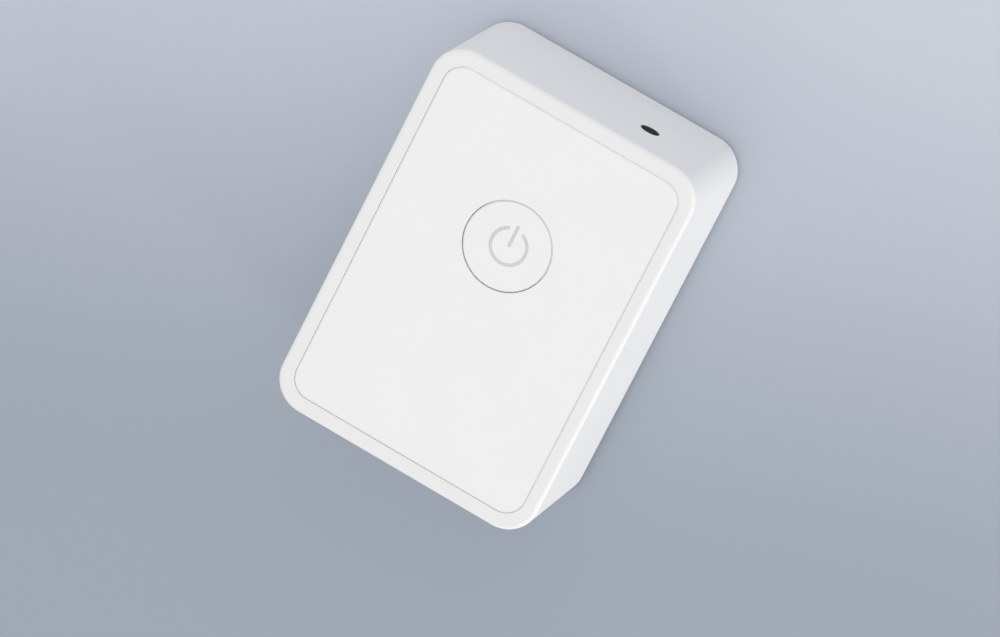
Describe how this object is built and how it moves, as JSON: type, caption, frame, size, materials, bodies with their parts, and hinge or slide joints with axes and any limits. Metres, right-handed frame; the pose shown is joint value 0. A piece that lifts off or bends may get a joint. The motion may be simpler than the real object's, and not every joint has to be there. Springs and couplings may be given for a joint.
{
  "type": "smart home hub",
  "caption": "Small white smart home hub lying on its back: rounded box, inlaid front panel with a round power button, power inlet in the upper edge, keyholes in the rear cover.",
  "frame": {"origin": "under the middle of the box, on the plane that the rubber feet stand on", "axes": "+Z the way the front panel and button face, +Y towards the edge with the power inlet, +X to the right with the symbol upright"},
  "size_m": [0.06, 0.0842, 0.0346],
  "materials": {
    "housing_plastic": "fine satin texture, moulded white",
    "panel_plastic": "soft satin, moulded white",
    "button_plastic": "soft satin, moulded white",
    "symbol_plastic": "smooth translucent grey",
    "cover_plastic": "fine spark texture, moulded white",
    "foot_rubber": "matt, soft",
    "adhesive_film": "matt film",
    "silicone": "milky, soft",
    "board_green": "solder mask over glass laminate",
    "module_blue": "solder mask over glass laminate",
    "black_plastic": "moulded, fine texture",
    "chip_black": "moulded epoxy",
    "screw_steel": "zinc plated",
    "tinned_steel": "tinned sheet",
    "gold_plate": "flash gold plate",
    "capacitor_can": "drawn can, satin",
    "ferrite": "pressed, matt",
    "ceramic_chip": "fired, matt",
    "light_lens": "clear yellow lens",
    "ivory_nylon": "moulded nylon",
    "lead_red": "smooth insulation",
    "lead_black": "smooth insulation",
    "battery_foil": "soft foil pouch",
    "foam": "open foam"
  },
  "bodies": {
    "hub": {"housing": "housing_plastic", "front_panel": "panel_plastic", "panel_film": "adhesive_film", "button_return_sleeve": "silicone", "button_board": "board_green", "button_board_screws": "screw_steel", "tact_switch": "black_plastic", "tact_leads": "tinned_steel", "status_lights": "light_lens", "link_header": "black_plastic", "link_pins": "gold_plate", "link_socket": "black_plastic", "main_board": "board_green", "main_board_screws": "screw_steel", "power_jack": "black_plastic", "jack_centre_pin": "tinned_steel", "jack_sleeve_contact": "tinned_steel", "network_module": "module_blue", "network_shield": "tinned_steel", "device_module": "module_blue", "device_shield": "tinned_steel", "main_processor": "chip_black", "memory_chips": "chip_black", "power_inductor": "ferrite", "capacitors": "capacitor_can", "crystal": "tinned_steel", "chip_parts": "ceramic_chip", "antenna": "gold_plate", "battery_socket": "ivory_nylon", "battery_plug": "ivory_nylon", "battery_lead_red": "lead_red", "battery_lead_black": "lead_black", "backup_battery": "battery_foil", "battery_guard_board": "board_green", "battery_foam": "foam", "battery_top_foam": "foam", "rear_cover": "cover_plastic", "keyhole_guards": "cover_plastic", "cover_screws": "screw_steel", "rubber_feet": "foot_rubber"},
    "pressed_button": {"power_button": "button_plastic", "symbol_light_guide": "symbol_plastic"},
    "switch_plunger": {"tact_plunger": "black_plastic"}
  },
  "joints": [
    {"name": "button_press", "type": "slide", "parent": "hub", "child": "pressed_button", "axis": [0, 0, -1], "range_m": [0, 0.0004], "stiffness_N_per_m": 800, "springref_m": -0.001, "deforming": ["button_return_sleeve"]},
    {"name": "plunger_press", "type": "slide", "parent": "hub", "child": "switch_plunger", "axis": [0, 0, -1], "range_m": [0, 0.0004]}
  ],
  "couplings": [
    {"joint": "plunger_press", "follows": "button_press", "ratio": 1}
  ]
}
